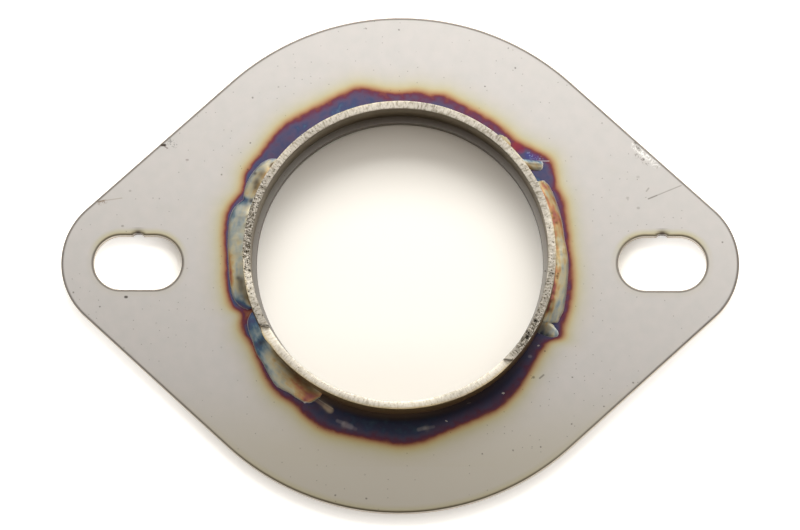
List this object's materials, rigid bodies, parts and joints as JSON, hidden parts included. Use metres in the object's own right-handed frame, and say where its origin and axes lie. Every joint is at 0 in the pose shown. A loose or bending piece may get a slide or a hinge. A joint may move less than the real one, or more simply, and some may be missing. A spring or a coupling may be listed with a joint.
{
  "type": "exhaust pipe flange",
  "caption": "Flat diamond-shaped exhaust flange with slotted bolt holes and a short pipe stub welded round its bore, with heat tint from the weld.",
  "frame": {"origin": "centre of the plate's bore on the plate's back face, the face that meets the gasket", "axes": "+X along the line of the bolt slots, +Z along the bore from the back face towards the open end of the stub"},
  "size_m": [0.1382, 0.1028, 0.0091],
  "materials": {
    "plate_steel": "satin mill finish",
    "pipe_steel": "satin, sawn at the open end",
    "weld_metal": "as welded, heat tinted"
  },
  "bodies": {
    "root": {"flange_plate": "plate_steel", "pipe_stub": "pipe_steel", "weld_left": "weld_metal", "weld_lower_left": "weld_metal", "weld_right": "weld_metal", "tack_upper_right": "weld_metal", "tack_lower_right": "weld_metal", "weld_lump": "weld_metal"}
  },
  "joints": []
}
